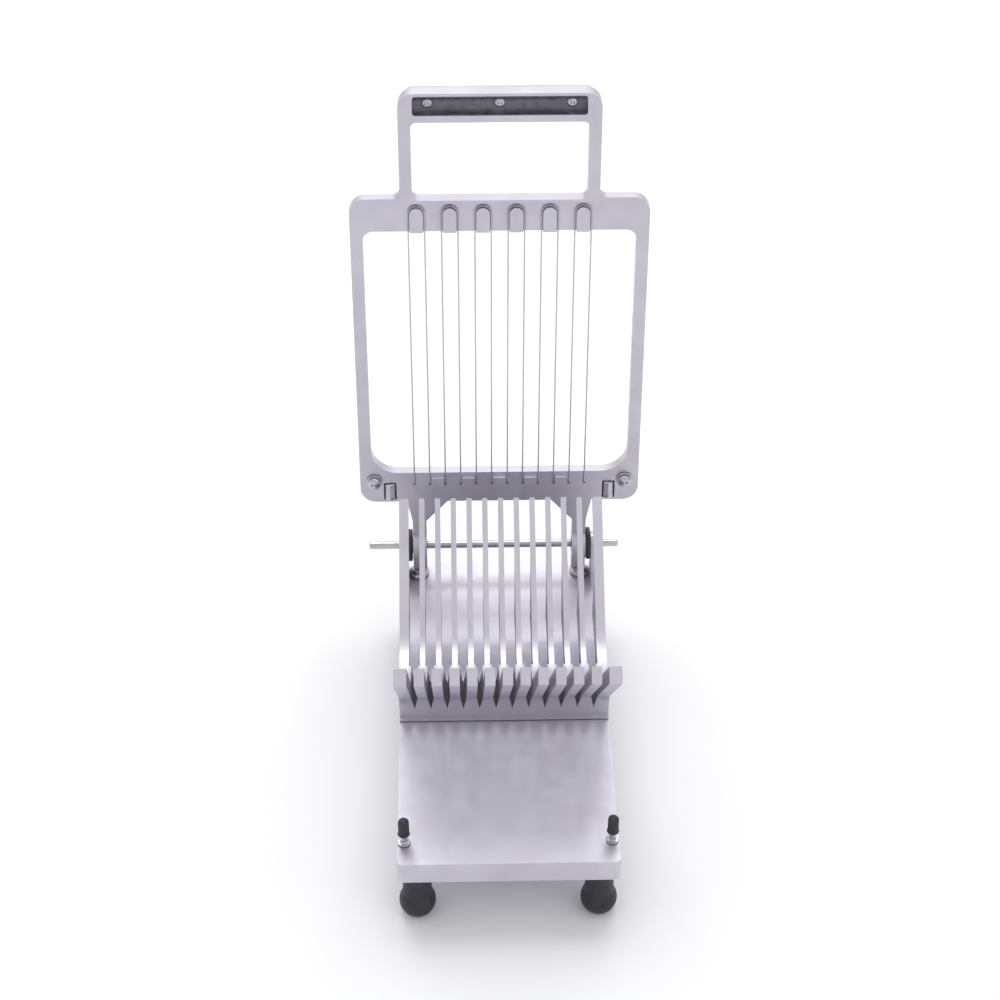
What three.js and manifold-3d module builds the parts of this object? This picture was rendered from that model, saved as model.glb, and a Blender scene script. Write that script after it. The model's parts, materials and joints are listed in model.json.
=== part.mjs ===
// Hinged egg slicer: a strung wire frame with a handle closes over a slotted V cradle on a base plate.
// Millimetres, +Z up. X runs across the slicer and -Y points to the open front end.
// Z = 0 of the finished part is the standing surface.
import * as THREE from "three";
import { mergeVertices } from "three/addons/utils/BufferGeometryUtils.js";
import Module from "manifold-3d";

const wasm = await Module();
wasm.setup();

// ---- Slicing pattern ----
const slicePitch = 6.35;
const wireCount = 12;
const wireRadius = 0.3;
const gap = 0.3; // left between pieces that touch
const bite = 0.5; // how far joined shapes run into each other

// ---- Base casting: a plate with a skirt ----
// While it is drawn, Z = 0 is the top of the plate and Y = 0 is the foot of the cradle.
const baseRearReach = 4.7; // behind the pivot axis
const plateThick = 2.5;
const skirtHeight = 9.6;
const skirtThick = 2.5;
const baseCornerRadius = 2;

// ---- Pivot ----
const pivotHeight = 13.9;
const rodRadius = 1.6;
const rodOverhangLeft = 13.8;
const rodOverhangRight = 9.2;
const runningClearance = 0.25;
const bracketThick = 2.5;
const bracketHeadRadius = 5;
const bracketFootReach = 11;
const bracketHeadEnd = 0.55; // radians short of a half turn, where the head runs into the front edge

// ---- Feet ----
const footInset = 7; // from the side and end faces of the base
const footPadHalf = 6.2;
const footNeckRadius = 5.4;
const footBallRadius = 6.9;
const footHeight = 22.6;
const footPadRadius = 3;
const footScrewRadius = 2;
const footScrewHeadRadius = 4.2;
const footScrewHeadHeight = 2.2;
const footScrewLength = 18;
const footSpigotLength = 6;

// ---- Bumpers at the front corners ----
const bumperInset = 2.5; // post centre from the side face of the base
const bumperSetback = 10.6; // post centre behind the front face of the base
const postRadius = 1.2;
const postDepth = 6;
const postCollarRadius = 2.4;
const postCollarHeight = 1.2;
const bumperCapRadius = 2.3;
const bumperCapHeight = 7.6;
const bumperCapCrown = 1.3;

// ---- Cradle: a V of bars standing on a front wall ----
const barThick = 2.16;
const barThinnest = 2.478; // depth left where the lower bar of the frame swings past
const tipThick = 3.7;
const cheekThick = 3.8;
const cheekClearance = 2.175; // from the outermost wire to the cheek
const rearSlope = 38.2;
const frontSlope = 47.5;
const frontArmThick = 6.35;
const frontArmRise = 50.5;
const frontWallHeight = 12.1;
const wallLean = 1.5; // how far the wall comes forward before the arm starts
const valleyRadius = 22.2;
const rearArmFloorY = 4.45; // where the rear slope would meet the plate
const barEndY = 71.7;
const barEndThick = 3.4;
const barLowEdge = 8.2;
const cradleFloorHeight = 3.2;
const cradleFloorDepth = 26.7;
const slotFloorHeight = 4.8;
const slotTaper = 7;
const lipReach = 1.6;
const lipHeight = 1;
const cradleScrewRadius = 1.4;
const cradleScrewHeadRadius = 3;
const cradleScrewHeadHeight = 2.4;
const cradleScrewEngagement = 4;
const cradleScrewY = 9;
const sweepClearance = 2;
const tipClearance = 1.87; // from the tips of the cradle to the top bar as it swings past

// ---- Wire frame, measured along the frame from the pivot ----
const openLean = 4; // degrees behind upright when open
const frontOffset = 1.2; // front face ahead of the pivot axis
const frameThick = 4.45;
const frameOverhang = 16.3; // beyond the base on each side
const lowerBarStart = 23.1;
const lowerBarEnd = 37.3;
const topBarHeight = 13.6;
const sideBarWidth = 4.8;
const frameCornerRadius = 6.4;
const windowTopRadius = 4.2;
const windowBottomRadius = 11;

// ---- Arms and pivot eyes ----
const armWidth = 5.7;
const eyeRadius = 6;
const armShoulderDrop = 10;
const armInnerFlare = 9;
const armOuterFlare = 2;
const bushFlangeRadius = 6.8;
const bushFlangeThick = 1.7;
const bushWall = 1.5;
const heelFront = 2.5;
const heelRear = 3.5;

// ---- Handle ----
const handleHalfWidth = 37.8;
const handleArmWidth = 4.6;
const handleReach = 43.2; // from the top bar to the end of the handle
const gripHeight = 11.4;
const gripDepth = 6;
const handleCornerRadius = 6;
const handleInnerRadius = 2.4;
const handleRootFillet = 3;
const recessDepth = 4;
const recessFloorWall = 2.7;
const recessTopWall = 1.1;
const recessEndWall = 5.4;
const gripCoverThick = 3.4;
const gripCoverInset = 3;
const gripCoverRadius = 2.6;
const gripCoverMargin = 0.4;
const gripCoverEdge = 1.4;
const gripScrewSpacing = 26.8;
const gripScrewRadius = 1.2;
const gripScrewHeadRadius = 2;
const gripScrewHeadHeight = 1.6;
const gripScrewBite = 1.9;

// ---- Wire fastenings ----
const pegRelief = 1.6; // how far the pegs stand off the bars
const pegTopMargin = 2.7; // from the top of a wire loop to the end of the top bar
const lowerPegHeight = 4.4;
const lowerPegDrop = 1.9;
const wireBend = 1.2;
const wireTail = 3;
const wireEntryDrop = 0.8;
const clampInset = 5.7; // clamp screw from the outer face of the frame
const clampDrop = 4;
const clampHeadRadius = 2.7;
const clampHeadHeight = 1.8;
const clampShankRadius = 1.4;
const clampWasherRadius = 3.3;
const clampWasherThick = 0.8;
const barrelInset = 12.2;
const barrelRadius = 2.3;
const barrelLength = 7.6;
const barrelDrop = 5.2;
const barrelProud = 1.5;

// ---- The V of the cradle from the side: rear line, front arm, and the circle that rounds the valley ----
const radians = THREE.MathUtils.degToRad;
const rearAngle = radians(rearSlope);
const frontAngle = radians(frontSlope);
const outerFoot = { y: -wallLean, z: frontWallHeight };
const armAlong = { y: -Math.cos(frontAngle), z: Math.sin(frontAngle) };
const armIn = { y: Math.sin(frontAngle), z: Math.cos(frontAngle) };
const armLength = frontArmRise / Math.sin(frontAngle);
const tipOuter = { y: outerFoot.y + armLength * armAlong.y, z: outerFoot.z + armLength * armAlong.z };
const tipInner = { y: tipOuter.y + frontArmThick * armIn.y, z: tipOuter.z + frontArmThick * armIn.z };
const rearLine = (y) => (y - rearArmFloorY) * Math.tan(rearAngle);
const valleyCentre = (() => {
  // The point at valleyRadius from both lines.
  const rearShift = valleyRadius / Math.cos(rearAngle);
  const frontShift = valleyRadius / Math.cos(frontAngle);
  const slopes = Math.tan(rearAngle) + Math.tan(frontAngle);
  const y = (tipInner.z + tipInner.y * Math.tan(frontAngle) + frontShift
    + rearArmFloorY * Math.tan(rearAngle) - rearShift) / slopes;
  return { y, z: rearLine(y) + rearShift };
})();

// ---- Fits between the cradle and the frame that swings over it ----
const sweepRadius = Math.hypot(lowerBarEnd, frameThick - frontOffset) + sweepClearance;
const pivotY = rearArmFloorY
  + (sweepRadius + barThinnest + pivotHeight * Math.cos(rearAngle)) / Math.sin(rearAngle);
const tipRadius = Math.hypot(pivotY - tipOuter.y, tipOuter.z + gap - pivotHeight);
const topBarStart = tipRadius + tipClearance;
const topBarEnd = topBarStart + topBarHeight;
const bumperY = pivotY - (topBarStart + topBarEnd) / 2;
const baseFront = bumperSetback - bumperY;
const baseRear = pivotY + baseRearReach;
const baseHalfWidth = ((wireCount - 1) / 2) * slicePitch + cheekClearance + cheekThick;
const frameHalfWidth = baseHalfWidth + frameOverhang;

// ---- Worked-out places ----
const plateUnderside = -plateThick;
const skirtBottom = -skirtHeight;
const standLevel = skirtBottom - gap - footHeight;
const footX = baseHalfWidth - footInset;
const frontFootY = -baseFront + footInset;
const rearFootY = baseRear - footInset;
const bumperX = baseHalfWidth - bumperInset;
const bumperTop = pivotHeight - frontOffset - gap;
const bracketInnerX = baseHalfWidth - bracketThick;
const eyeOuterX = bracketInnerX - bushFlangeThick - 2 * gap;
const eyeInnerX = eyeOuterX - armWidth;
const rodBoreRadius = rodRadius + runningClearance;
const bushOuterRadius = rodBoreRadius + bushWall;
const frameBackY = frameThick - frontOffset;
const handleEnd = topBarEnd + handleReach;
const gripStart = handleEnd - gripHeight;
const gripMiddle = (gripStart + recessFloorWall + handleEnd - recessTopWall) / 2;
const wirePlaneY = -frontOffset - gap - wireRadius;
const loopCentre = topBarEnd - pegTopMargin - slicePitch / 2;
const pegHalfWidth = slicePitch / 2 - wireRadius - gap;
const lowerPegTop = lowerBarEnd - lowerPegDrop;
const wireEntry = lowerPegTop - lowerPegHeight + wireEntryDrop;
const clampX = frameHalfWidth - clampInset;
const clampZ = lowerBarEnd - clampDrop;
const barrelX = frameHalfWidth - barrelInset;
const barrelTop = lowerBarEnd - barrelDrop;
const barCount = wireCount - 1;
const sides = [
  { word: "left", sign: -1 },
  { word: "right", sign: 1 },
];

// ---- Looks of the materials ----
const finishes = {
  casting: { color: 0xc4c2cb, roughness: 0.42, metalness: 0.75 },
  steel: { color: 0xb9b9bd, roughness: 0.25, metalness: 0.95 },
  rubber: { color: 0x232329, roughness: 0.75, metalness: 0 },
  nylon: { color: 0x1c1c20, roughness: 0.5, metalness: 0 },
};

// ---- Solids ----
function toSolid(geometry) {
  const bare = geometry.clone();
  bare.deleteAttribute("normal");
  bare.deleteAttribute("uv");
  const merged = mergeVertices(bare, 1e-4);
  const data = {
    numProp: 3,
    vertProperties: new Float32Array(merged.attributes.position.array),
    triVerts: new Uint32Array(merged.index.array),
  };
  return new wasm.Manifold(new wasm.Mesh(data));
}

function toGeometry(solid) {
  const mesh = solid.getMesh();
  const geometry = new THREE.BufferGeometry();
  geometry.setAttribute("position", new THREE.BufferAttribute(new Float32Array(mesh.vertProperties), 3));
  geometry.setIndex(new THREE.BufferAttribute(new Uint32Array(mesh.triVerts), 1));
  const flat = geometry.toNonIndexed();
  flat.computeVertexNormals();
  return flat;
}

const join = (solids) => solids.reduce((whole, one) => whole.add(one));
const cut = (solid, tools) => tools.reduce((rest, tool) => rest.subtract(tool), solid);

function place(geometry, x, y, z) {
  geometry.translate(x, y, z);
  return geometry;
}

// A shape drawn in (Y, Z), pushed along X from x0 to x1.
function prismX(shape, x0, x1) {
  const depth = x1 - x0;
  const geometry = new THREE.ExtrudeGeometry(shape, { depth, bevelEnabled: false, curveSegments: 6 });
  const across = new THREE.Vector3(1, 0, 0);
  const back = new THREE.Vector3(0, 1, 0);
  const up = new THREE.Vector3(0, 0, 1);
  geometry.applyMatrix4(new THREE.Matrix4().makeBasis(back, up, across));
  return toSolid(place(geometry, x0, 0, 0));
}

// A shape drawn in (X, Z), from the rear face at yRear forwards by depth.
function prismY(shape, yRear, depth) {
  const geometry = new THREE.ExtrudeGeometry(shape, { depth, bevelEnabled: false, curveSegments: 8 });
  geometry.rotateX(Math.PI / 2);
  return toSolid(place(geometry, 0, yRear, 0));
}

// A shape drawn in (X, Y), from zLow upwards by depth.
function prismZ(shape, zLow, depth) {
  const geometry = new THREE.ExtrudeGeometry(shape, { depth, bevelEnabled: false, curveSegments: 2 });
  return toSolid(place(geometry, 0, 0, zLow));
}

function polygon(points) {
  return new THREE.Shape(points.map(([u, v]) => new THREE.Vector2(u, v)));
}

// A rectangle with one radius for its lower corners, square at 0, and another for its upper corners.
function roundedRectangle(u0, u1, v0, v1, low, high) {
  const shape = new THREE.Shape();
  shape.moveTo(u0 + low, v0);
  shape.lineTo(u1 - low, v0);
  if (low > 0) shape.absarc(u1 - low, v0 + low, low, -Math.PI / 2, 0);
  shape.lineTo(u1, v1 - high);
  shape.absarc(u1 - high, v1 - high, high, 0, Math.PI / 2);
  shape.lineTo(u0 + high, v1);
  shape.absarc(u0 + high, v1 - high, high, Math.PI / 2, Math.PI);
  shape.lineTo(u0, v0 + low);
  if (low > 0) shape.absarc(u0 + low, v0 + low, low, Math.PI, 1.5 * Math.PI);
  return shape;
}

function block(x0, x1, y0, y1, z0, z1) {
  const geometry = new THREE.BoxGeometry(x1 - x0, y1 - y0, z1 - z0);
  return toSolid(place(geometry, (x0 + x1) / 2, (y0 + y1) / 2, (z0 + z1) / 2));
}

// A round piece about the Y axis from [radius, distance] pairs that start and end on the axis, or close up.
function latheY(profile, segments = 16) {
  return new THREE.LatheGeometry(profile.map(([r, h]) => new THREE.Vector2(r, h)), segments);
}

function latheX(profile, segments) {
  const geometry = latheY(profile, segments);
  geometry.rotateZ(-Math.PI / 2);
  return geometry;
}

function latheZ(profile, segments) {
  const geometry = latheY(profile, segments);
  geometry.rotateX(Math.PI / 2);
  return geometry;
}

const pin = (radius, from, to) => [[0, from], [radius, from], [radius, to], [0, to]];

function rodZ(radius, z0, z1, x, y, segments = 16) {
  return toSolid(place(latheZ(pin(radius, z0, z1), segments), x, y, 0));
}

function rodX(radius, x0, x1, y, z, segments = 16) {
  return toSolid(place(latheX(pin(radius, x0, x1), segments), 0, y, z));
}

function rodY(radius, y0, y1, x, z, segments = 16) {
  return toSolid(place(latheY(pin(radius, y0, y1), segments), x, 0, z));
}

function mesh(name, finish, shape) {
  const geometry = shape.isBufferGeometry ? shape : toGeometry(shape);
  const made = new THREE.Mesh(geometry, new THREE.MeshStandardMaterial(finishes[finish]));
  made.name = name;
  return made;
}

// ---- Base casting ----
function bracketProfile() {
  const root = -plateThick / 2;
  const shape = new THREE.Shape();
  shape.moveTo(pivotY - bracketFootReach, root);
  shape.lineTo(baseRear - baseCornerRadius, root);
  shape.lineTo(baseRear - baseCornerRadius, 0);
  shape.absarc(pivotY, pivotHeight, bracketHeadRadius, 0, Math.PI - bracketHeadEnd);
  shape.lineTo(pivotY - bracketFootReach, 0);
  return shape;
}

function cradleScrewPlaces() {
  const step = Math.floor((barCount - 1) / 2 - 1) * slicePitch;
  return [-step, 0, step];
}

// A block of metal that fills a corner of the skirt for a foot to seat on.
function cornerPad(sign, end, y) {
  const overlap = skirtThick / 2;
  const xs = [sign * (footX - footPadHalf), sign * (bracketInnerX + overlap)].sort((a, b) => a - b);
  const wall = end < 0 ? -baseFront + skirtThick - overlap : baseRear - skirtThick + overlap;
  const ys = [y - end * footPadHalf, wall].sort((a, b) => a - b);
  return block(xs[0], xs[1], ys[0], ys[1], skirtBottom, plateUnderside + overlap);
}

function baseCasting() {
  const outline = roundedRectangle(
    -baseHalfWidth, baseHalfWidth, -baseFront, baseRear, baseCornerRadius, baseCornerRadius);
  const hollow = roundedRectangle(
    -baseHalfWidth + skirtThick, baseHalfWidth - skirtThick,
    -baseFront + skirtThick, baseRear - skirtThick, baseCornerRadius, baseCornerRadius);
  const shell = prismZ(outline, skirtBottom, skirtHeight);
  const under = prismZ(hollow, skirtBottom - 1, skirtHeight - plateThick + 1);
  const bosses = [];
  const holes = [];
  for (const { sign } of sides) {
    const x = sign * footX;
    bosses.push(cornerPad(sign, -1, frontFootY), cornerPad(sign, 1, rearFootY));
    const inner = sign < 0 ? -baseHalfWidth : bracketInnerX;
    bosses.push(prismX(bracketProfile(), inner, inner + bracketThick));
    holes.push(rodZ(footScrewRadius + gap, skirtBottom - 1, 1, x, rearFootY));
    const spigotTop = skirtBottom + footSpigotLength + gap;
    holes.push(rodZ(footScrewRadius + gap, skirtBottom - 1, spigotTop, x, frontFootY));
    holes.push(rodZ(postRadius + gap, -postDepth - gap, 1, sign * bumperX, bumperY, 12));
    holes.push(rodX(rodBoreRadius, inner - 1, inner + bracketThick + 1, pivotY, pivotHeight));
  }
  for (const x of cradleScrewPlaces())
    holes.push(rodZ(cradleScrewRadius + gap, plateUnderside - 1, 1, x, cradleScrewY, 12));
  return cut(join([cut(shell, [under]), ...bosses]), holes);
}

// ---- Cradle ----
function traceValley(shape, from, to) {
  const steps = 7;
  for (let i = 0; i <= steps; i += 1) {
    const angle = from + ((to - from) * i) / steps;
    shape.lineTo(
      valleyCentre.y + valleyRadius * Math.cos(angle),
      valleyCentre.z + valleyRadius * Math.sin(angle));
  }
}

const valleyFront = Math.PI + (Math.PI / 2 - frontAngle);
const valleyRear = 1.5 * Math.PI + rearAngle;

// The side view of one bar, with the rear cut to an arc that the lower bar of the frame swings through.
function barProfile() {
  const shape = new THREE.Shape();
  shape.moveTo(0, 0);
  shape.lineTo(0, frontWallHeight / 2);
  shape.lineTo(outerFoot.y, outerFoot.z);
  shape.lineTo(tipOuter.y, tipOuter.z);
  shape.lineTo(tipInner.y, tipInner.z);
  traceValley(shape, valleyFront, valleyRear);
  shape.lineTo(barEndY, rearLine(barEndY));
  const reach = pivotY - barEndY;
  const endDepth = rearLine(barEndY) - pivotHeight - Math.sqrt(sweepRadius ** 2 - reach ** 2);
  shape.lineTo(barEndY, rearLine(barEndY) - Math.min(barEndThick, endDepth));
  const start = Math.PI - Math.acos(reach / sweepRadius);
  const end = Math.PI + Math.asin((pivotHeight - barLowEdge) / sweepRadius);
  const steps = 9;
  for (let i = 1; i <= steps; i += 1) {
    const angle = start + ((end - start) * i) / steps;
    shape.lineTo(pivotY + sweepRadius * Math.cos(angle), pivotHeight + sweepRadius * Math.sin(angle));
  }
  shape.lineTo(cradleFloorDepth, barLowEdge);
  shape.lineTo(cradleFloorDepth, 0);
  return shape;
}

// The part of the side view that every bar and slot shares: wall, front arm and the valley's front half.
function frontProfile() {
  const shape = new THREE.Shape();
  shape.moveTo(0, 0);
  shape.lineTo(0, frontWallHeight / 2);
  shape.lineTo(outerFoot.y, outerFoot.z);
  shape.lineTo(tipOuter.y, tipOuter.z);
  shape.lineTo(tipInner.y, tipInner.z);
  traceValley(shape, valleyFront, 1.5 * Math.PI);
  shape.lineTo(valleyCentre.y, 0);
  return shape;
}

// A slot for one wire: straight sides, running to a point at the bottom.
function slotTool(x) {
  const half = (slicePitch - tipThick) / 2;
  const shape = polygon([
    [x, slotFloorHeight],
    [x + half, slotFloorHeight + slotTaper],
    [x + half, tipInner.z + 1],
    [x - half, tipInner.z + 1],
    [x - half, slotFloorHeight + slotTaper],
  ]);
  return prismY(shape, valleyCentre.y + 1, valleyCentre.y - tipOuter.y + 2);
}

function cradle() {
  const half = baseHalfWidth;
  const front = prismX(frontProfile(), -half, half);
  const slots = [];
  for (let i = 0; i < wireCount; i += 1) slots.push(slotTool((i - (wireCount - 1) / 2) * slicePitch));
  const bars = [];
  for (let i = 0; i < barCount; i += 1) {
    const x = (i - (barCount - 1) / 2) * slicePitch;
    bars.push(prismX(barProfile(), x - barThick / 2, x + barThick / 2));
  }
  bars.push(prismX(barProfile(), -half, -half + cheekThick));
  bars.push(prismX(barProfile(), half - cheekThick, half));
  const floor = block(-half, half, -lipReach, 1, 0, lipHeight);
  const rearFloor = block(-half, half, 0, cradleFloorDepth, 0, cradleFloorHeight);
  const whole = join([cut(front, slots), floor, rearFloor, ...bars]);
  const holes = cradleScrewPlaces().map((x) =>
    rodZ(cradleScrewRadius + gap, -1, cradleScrewEngagement + gap, x, cradleScrewY, 12));
  return cut(whole, holes).translate([0, 0, gap]);
}

// ---- Feet, bumpers and screws of the base ----
function footProfile() {
  const top = -gap;
  const ballCentre = top - footHeight + Math.sqrt(footBallRadius ** 2 - footPadRadius ** 2);
  const points = [];
  const startAngle = -Math.acos(footPadRadius / footBallRadius);
  const endAngle = Math.acos(footNeckRadius / footBallRadius);
  const steps = 7;
  for (let i = 0; i <= steps; i += 1) {
    const angle = startAngle + ((endAngle - startAngle) * i) / steps;
    points.push([footBallRadius * Math.cos(angle), ballCentre + footBallRadius * Math.sin(angle)]);
  }
  return [[0, top - footHeight], ...points, [footNeckRadius, top]];
}

function plainFoot(x) {
  const spigot = [[footScrewRadius, -gap], [footScrewRadius, footSpigotLength], [0, footSpigotLength]];
  return place(latheZ([...footProfile(), ...spigot]), x, frontFootY, skirtBottom);
}

function screwedFoot(x) {
  const depth = footScrewLength - skirtHeight + gap;
  const bore = [[footScrewRadius + gap, -gap], [footScrewRadius + gap, -depth - gap], [0, -depth - gap]];
  return place(latheZ([...footProfile(), ...bore]), x, rearFootY, skirtBottom);
}

function footScrew(x) {
  const crown = footScrewHeadHeight * 0.55;
  const profile = [
    [0, -footScrewLength],
    [footScrewRadius, -footScrewLength],
    [footScrewRadius, gap],
    [footScrewHeadRadius, gap],
    [footScrewHeadRadius, gap + crown],
    [footScrewHeadRadius * 0.7, gap + footScrewHeadHeight],
    [0, gap + footScrewHeadHeight],
  ];
  return place(latheZ(profile), x, rearFootY, 0);
}

function bumperPost(x) {
  const profile = [
    [0, -postDepth],
    [postRadius, -postDepth],
    [postRadius, gap],
    [postCollarRadius, gap],
    [postCollarRadius, gap + postCollarHeight],
    [postRadius, gap + postCollarHeight],
    [postRadius, bumperTop - bumperCapRadius],
    [0, bumperTop - bumperCapRadius],
  ];
  return place(latheZ(profile, 16), x, bumperY, 0);
}

function bumperCap(x) {
  const bottom = bumperTop - bumperCapHeight;
  const dome = [];
  const steps = 5;
  for (let i = 0; i < steps; i += 1) {
    const angle = (Math.PI / 2) * (i / steps);
    dome.push([bumperCapRadius * Math.cos(angle), bumperTop - bumperCapCrown * (1 - Math.sin(angle))]);
  }
  const hole = postRadius + gap;
  const roof = bumperTop - bumperCapRadius + gap;
  const skirt = [[0, roof], [hole, roof], [hole, bottom], [bumperCapRadius, bottom]];
  const profile = [...skirt, ...dome, [0, bumperTop]];
  return place(latheZ(profile, 16), x, bumperY, 0);
}

function cradleScrew(x) {
  const low = plateUnderside - gap;
  const profile = [
    [0, low - cradleScrewHeadHeight],
    [cradleScrewHeadRadius, low - cradleScrewHeadHeight],
    [cradleScrewHeadRadius, low],
    [cradleScrewRadius, low],
    [cradleScrewRadius, cradleScrewEngagement],
    [0, cradleScrewEngagement],
  ];
  return place(latheZ(profile, 12), x, cradleScrewY, 0);
}

function pivotRod() {
  const chamfer = rodRadius / 3;
  const left = -baseHalfWidth - rodOverhangLeft;
  const right = baseHalfWidth + rodOverhangRight;
  const profile = [
    [0, left],
    [rodRadius - chamfer, left],
    [rodRadius, left + chamfer],
    [rodRadius, right - chamfer],
    [rodRadius - chamfer, right],
    [0, right],
  ];
  return place(latheX(profile), 0, pivotY, pivotHeight);
}

// ---- Wire frame casting, drawn upright about the pivot axis ----
function armProfile(sign) {
  const shoulder = lowerBarStart + 1;
  return polygon([
    [sign * (eyeInnerX - armInnerFlare), shoulder],
    [sign * (eyeInnerX - armInnerFlare), lowerBarStart],
    [sign * eyeInnerX, lowerBarStart - armShoulderDrop],
    [sign * eyeInnerX, 0],
    [sign * eyeOuterX, 0],
    [sign * eyeOuterX, lowerBarStart - armShoulderDrop],
    [sign * (eyeOuterX + armOuterFlare), lowerBarStart],
    [sign * (eyeOuterX + armOuterFlare), shoulder],
  ]);
}

function heelProfile() {
  const low = footScrewHeadHeight + 2 * gap - pivotHeight;
  const corners = [[-heelFront, low], [heelRear, low], [heelRear + 1, 0], [-heelFront - 1, 0]];
  const lean = radians(openLean);
  return polygon(corners.map(([y, z]) => [
    y * Math.cos(lean) - z * Math.sin(lean),
    y * Math.sin(lean) + z * Math.cos(lean),
  ]));
}

function handleProfile() {
  const shape = roundedRectangle(
    -handleHalfWidth, handleHalfWidth, topBarEnd - 1, handleEnd, 0, handleCornerRadius);
  const inner = handleHalfWidth - handleArmWidth;
  const radius = handleInnerRadius;
  shape.holes.push(roundedRectangle(-inner, inner, topBarEnd, gripStart, radius, radius));
  return shape;
}

// The fillet where each handle arm meets the top bar, on its outer side.
function rootFillet(sign) {
  const x = sign * handleHalfWidth;
  const shape = new THREE.Shape();
  const steps = 5;
  shape.moveTo(x - sign * bite, topBarEnd - bite);
  shape.lineTo(x + sign * handleRootFillet, topBarEnd - bite);
  for (let i = 0; i <= steps; i += 1) {
    const angle = (Math.PI / 2) * (i / steps);
    shape.lineTo(
      x + sign * handleRootFillet * (1 - Math.sin(angle)),
      topBarEnd + handleRootFillet * (1 - Math.cos(angle)));
  }
  shape.lineTo(x - sign * bite, topBarEnd + handleRootFillet);
  return prismY(shape, frameBackY, frameThick);
}

function archPeg(x, centre, foot) {
  const shape = new THREE.Shape();
  shape.moveTo(x - pegHalfWidth, foot);
  shape.lineTo(x + pegHalfWidth, foot);
  shape.absarc(x, centre, pegHalfWidth, 0, Math.PI);
  return prismY(shape, -frontOffset + bite, pegRelief + bite);
}

function wireFrame() {
  const ring = roundedRectangle(
    -frameHalfWidth, frameHalfWidth, lowerBarStart, topBarEnd, frameCornerRadius, frameCornerRadius);
  const inner = frameHalfWidth - sideBarWidth;
  ring.holes.push(roundedRectangle(
    -inner, inner, lowerBarEnd, topBarStart, windowBottomRadius, windowTopRadius));
  const pieces = [prismY(ring, frameBackY, frameThick), prismY(handleProfile(), frameBackY, gripDepth)];
  const holes = [];
  for (const { sign } of sides) {
    const eye0 = Math.min(sign * eyeInnerX, sign * eyeOuterX);
    pieces.push(prismY(armProfile(sign), frameBackY, frameThick));
    pieces.push(rodX(eyeRadius, eye0, eye0 + armWidth, 0, 0, 24));
    pieces.push(prismX(heelProfile(), eye0, eye0 + armWidth));
    pieces.push(rootFillet(sign));
    holes.push(rodX(bushOuterRadius + gap, eye0 - 1, eye0 + armWidth + 1, 0, 0, 24));
    holes.push(rodY(clampShankRadius + gap, -frontOffset - 1, frameBackY + 1, sign * clampX, clampZ, 12));
    const pocket = barrelRadius + gap;
    holes.push(block(
      sign * barrelX - pocket, sign * barrelX + pocket,
      -frontOffset - 1, -frontOffset + 2 * barrelRadius - barrelProud + gap,
      barrelTop - barrelLength - gap, barrelTop + gap));
  }
  for (let i = 0; i < wireCount / 2; i += 1)
    pieces.push(archPeg((2 * i - (wireCount / 2 - 1)) * slicePitch, loopCentre, topBarStart));
  for (let i = 1; i < wireCount / 2; i += 1) {
    const x = (2 * i - wireCount / 2) * slicePitch;
    pieces.push(block(
      x - pegHalfWidth, x + pegHalfWidth, -frontOffset - pegRelief, -frontOffset + bite,
      lowerPegTop - lowerPegHeight, lowerPegTop));
  }
  for (let i = 0; i < wireCount; i += 1) {
    const x = (i - (wireCount - 1) / 2) * slicePitch;
    const wireHoleEnd = wirePlaneY + wireBend + wireTail + gap;
    holes.push(rodY(wireRadius + gap, -frontOffset - 1, wireHoleEnd, x, wireEntry, 8));
  }
  const recessHalf = handleHalfWidth - recessEndWall;
  const recess = roundedRectangle(
    -recessHalf, recessHalf, gripStart + recessFloorWall, handleEnd - recessTopWall, 1.2, 1.2);
  const handleFront = frameBackY - gripDepth;
  holes.push(prismY(recess, handleFront + recessDepth, recessDepth + 1));
  for (const x of [-gripScrewSpacing, 0, gripScrewSpacing])
    holes.push(rodY(gripScrewRadius + gap, handleFront, frameBackY + 1, x, gripMiddle, 12));
  return cut(join(pieces), holes);
}

// ---- Pieces on the wire frame ----
function bushing(sign) {
  const length = armWidth + gap + bushFlangeThick;
  const profile = [
    [rodBoreRadius, 0],
    [bushOuterRadius, 0],
    [bushOuterRadius, armWidth + gap],
    [bushFlangeRadius, armWidth + gap],
    [bushFlangeRadius, length],
    [rodBoreRadius, length],
    [rodBoreRadius, 0],
  ];
  const geometry = latheX(profile, 24);
  if (sign < 0) geometry.rotateZ(Math.PI);
  return place(geometry, sign * eyeInnerX, 0, 0);
}

// A path through chosen points, one section at each point.
class StrungPath extends THREE.Curve {
  constructor(points) {
    super();
    this.points = points;
  }
  getPoint(t, target = new THREE.Vector3()) {
    const last = this.points.length - 1;
    const i = Math.min(Math.round(t * last), last);
    return target.copy(this.points[i]);
  }
  getPointAt(u, target) {
    return this.getPoint(u, target);
  }
  getTangentAt(u, target = new THREE.Vector3()) {
    const last = this.points.length - 1;
    const i = Math.round(u * last);
    const before = this.points[Math.max(i - 1, 0)];
    const here = this.points[i];
    const after = this.points[Math.min(i + 1, last)];
    target.set(0, 0, 0);
    if (i > 0) target.add(here.clone().sub(before).normalize());
    if (i < last) target.add(after.clone().sub(here).normalize());
    return target.normalize();
  }
}

// One leg's lower end, from its tail inside the lower bar round to the wire plane.
function legEnd(x) {
  const points = [new THREE.Vector3(x, wirePlaneY + wireBend + wireTail, wireEntry)];
  const steps = 3;
  for (let i = 0; i <= steps; i += 1) {
    const angle = (Math.PI / 2) * (i / steps);
    points.push(new THREE.Vector3(
      x, wirePlaneY + wireBend * (1 - Math.sin(angle)), wireEntry + wireBend * (1 - Math.cos(angle))));
  }
  return points;
}

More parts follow.
